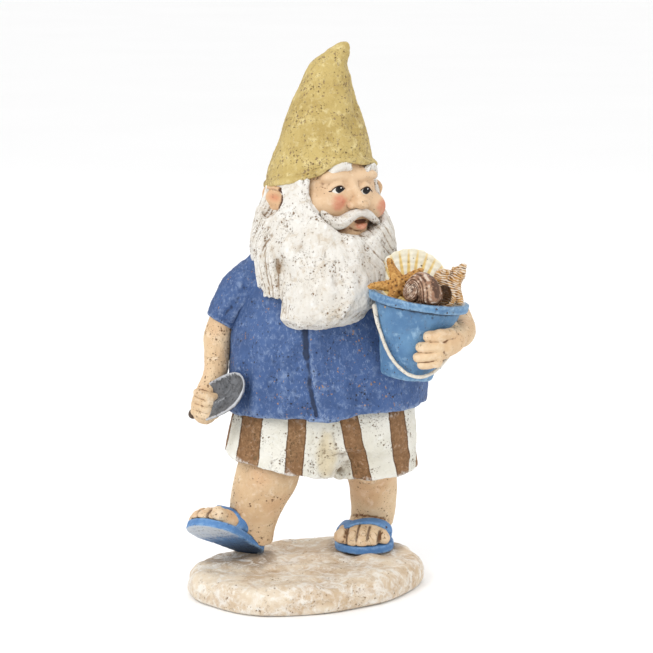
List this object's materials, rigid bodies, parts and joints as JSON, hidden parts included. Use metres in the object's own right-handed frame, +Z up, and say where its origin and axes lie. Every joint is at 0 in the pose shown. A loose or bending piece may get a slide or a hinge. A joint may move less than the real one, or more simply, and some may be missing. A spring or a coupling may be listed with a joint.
{
  "type": "garden gnome",
  "caption": "Painted cast-stone garden gnome striding over a mound of sand, in a tall pointed hat, striped shorts and flip-flops, holding a bucket of seashells and a small trowel.",
  "frame": {"origin": "on the flat underside of the base, near the middle of its oval, so the figure stands on z = 0", "axes": "+Z up through the figure, -Y towards the viewer that the striding figure faces, +X towards the bucket in its left hand"},
  "size_m": [0.1674, 0.1361, 0.316],
  "materials": {
    "sand": "matte dry-brushed sand paint on cast stone",
    "sandal": "satin light blue paint with dark wash under the edge",
    "skin": "matte flesh paint with brown wash in pits and creases, rosy cheeks",
    "shorts_cloth": "matte off-white paint with painted brown stripes",
    "shirt_cloth": "matte denim blue paint with light dry-brush and orange-tan specks",
    "hair_paint": "matte white paint with brown wash in the grooves",
    "hat_felt": "matte straw yellow paint with grey-brown specks",
    "bucket_paint": "satin blue paint with grey-brown dirt and chipped white lip",
    "bail_paint": "cream painted wire",
    "wet_sand": "dark matte brown",
    "scallop": "satin cream with yellow ribs",
    "starfish_paint": "matte golden brown with dark pits",
    "snail": "satin mauve brown with pale ridges",
    "conch": "satin gold ridges with white dry-brush",
    "trowel_steel": "dark worn metal with bright edges",
    "trowel_grip": "dark brown grip",
    "pin_steel": "plain steel rod"
  },
  "bodies": {
    "root": {"base": "sand", "right_sandal_sole": "sandal", "right_sandal_strap": "sandal", "right_leg": "skin", "right_leg_pin": "pin_steel", "left_sandal_sole": "sandal", "left_sandal_strap": "sandal", "left_leg": "skin", "left_leg_pin": "pin_steel", "shorts": "shorts_cloth", "shirt": "shirt_cloth", "right_sleeve": "shirt_cloth", "left_sleeve": "shirt_cloth", "right_arm": "skin", "left_arm": "skin", "trowel_handle": "trowel_grip", "trowel_blade": "trowel_steel", "bucket": "bucket_paint", "bucket_bail": "bail_paint", "bucket_fill": "wet_sand", "scallop_shell": "scallop", "starfish": "starfish_paint", "snail_shell": "snail", "conch_shell": "conch", "head": "skin", "right_ear": "skin", "right_eyebrow": "hair_paint", "left_ear": "skin", "left_eyebrow": "hair_paint", "moustache": "hair_paint", "beard": "hair_paint", "hair": "hair_paint", "hat": "hat_felt"}
  },
  "joints": []
}
